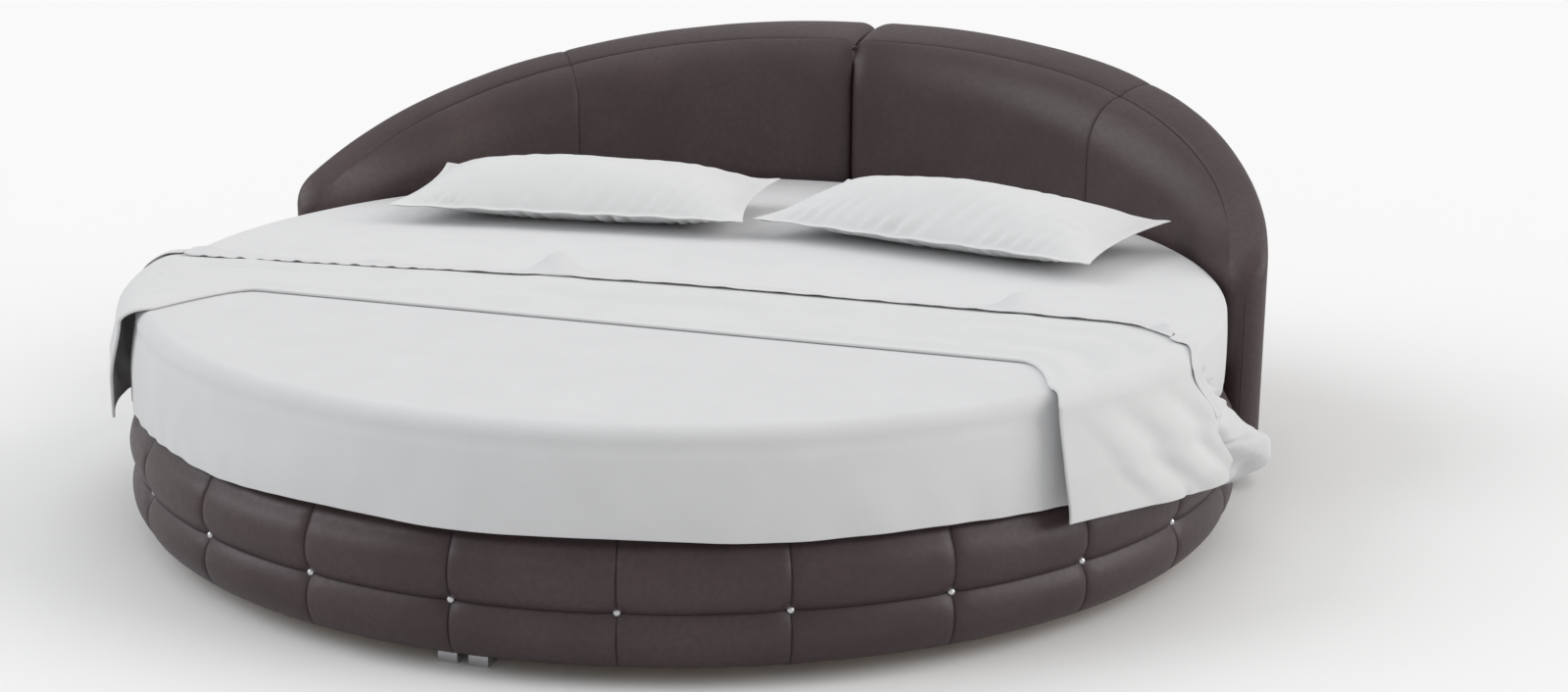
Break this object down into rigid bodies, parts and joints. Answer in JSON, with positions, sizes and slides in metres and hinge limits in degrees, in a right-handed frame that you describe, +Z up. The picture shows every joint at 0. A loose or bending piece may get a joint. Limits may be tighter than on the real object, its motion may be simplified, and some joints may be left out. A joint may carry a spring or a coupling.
{
  "type": "round upholstered bed",
  "caption": "Round bed with a tufted leather base, a wrap-round padded headboard in two halves, a round mattress, sheets, a throw and flanged pillows",
  "frame": {"origin": "on the floor under the middle of the round base, at the sole of the centre leg's glide", "axes": "+Z up, the headboard towards +Y, the foot end towards -Y, +X to the right seen from the foot end"},
  "size_m": [2.4194, 2.5036, 0.8129],
  "materials": {
    "cover_leather": "dark brown leather, tufted, with a soft sheen",
    "headboard_leather": "dark brown leather with a soft sheen",
    "back_panel_leather": "dark brown leather stretched over a board",
    "button_silver": "small domed silver buttons",
    "foot_silver": "square plated feet",
    "mattress_ticking": "woven ticking over foam and springs",
    "fitted_sheet_cotton": "plain white cotton, drawn smooth",
    "top_sheet_cotton": "plain white cotton with soft creases",
    "throw_cotton": "plain white cotton, folded to a band",
    "pillow_cotton": "white cotton cases with a flat flange",
    "plywood": "raw plywood",
    "softwood": "planed softwood",
    "beech": "bent, layered beech",
    "black_plastic": "moulded plastic",
    "black_steel": "powder-coated steel",
    "zinc_steel": "zinc-plated steel"
  },
  "bodies": {
    "bed": {"back_cover_left": "cover_leather", "back_cover_right": "cover_leather", "base_cover_left": "cover_leather", "base_cover_right": "cover_leather", "beam_hanger_foot": "black_steel", "beam_hanger_head": "black_steel", "beam_hanger_left": "black_steel", "beam_hanger_right": "black_steel", "bracket_bolts": "zinc_steel", "centre_batten": "softwood", "centre_beam": "black_steel", "cross_beam_left": "black_steel", "cross_beam_right": "black_steel", "foot_front_left": "foot_silver", "foot_front_right": "foot_silver", "foot_headboard_left": "foot_silver", "foot_headboard_right": "foot_silver", "foot_side_left": "foot_silver", "foot_side_right": "foot_silver", "foot_wing_left": "foot_silver", "foot_wing_right": "foot_silver", "headboard_back_panel_left": "back_panel_leather", "headboard_back_panel_right": "back_panel_leather", "headboard_bottom_rail_left": "plywood", "headboard_bottom_rail_right": "plywood", "headboard_bracket_back_left": "black_steel", "headboard_bracket_back_right": "black_steel", "headboard_bracket_side_left": "black_steel", "headboard_bracket_side_right": "black_steel", "headboard_pad_left": "headboard_leather", "headboard_pad_right": "headboard_leather", "headboard_ribs_left": "plywood", "headboard_ribs_right": "plywood", "joint_bolts": "zinc_steel", "leg_centre": "black_steel", "leg_foot_end": "black_steel", "leg_glides": "black_plastic", "leg_head_end": "black_steel", "leg_left": "black_steel", "leg_right": "black_steel", "lower_hoop_left": "plywood", "lower_hoop_right": "plywood", "rail_posts_left": "softwood", "rail_posts_right": "softwood", "side_skin_left": "plywood", "side_skin_right": "plywood", "slat_holders_left": "black_plastic", "slat_holders_right": "black_plastic", "slats_left": "beech", "slats_right": "beech", "tuft_buttons": "button_silver", "upper_hoop_left": "plywood", "upper_hoop_right": "plywood"},
    "mattress": {"mattress": "mattress_ticking", "fitted_sheet": "fitted_sheet_cotton", "top_sheet": "top_sheet_cotton", "throw": "throw_cotton"},
    "pillow_left": {"pillow_left": "pillow_cotton"},
    "pillow_right": {"pillow_right": "pillow_cotton"}
  },
  "joints": [
    {"name": "mattress_lift", "type": "slide", "parent": "bed", "child": "mattress", "axis": [0, 0, 1], "range_m": [0, 0.6]},
    {"name": "pillow_left_lift", "type": "slide", "parent": "mattress", "child": "pillow_left", "axis": [0, 0, 1], "range_m": [0, 0.4]},
    {"name": "pillow_right_lift", "type": "slide", "parent": "mattress", "child": "pillow_right", "axis": [0, 0, 1], "range_m": [0, 0.4]}
  ]
}
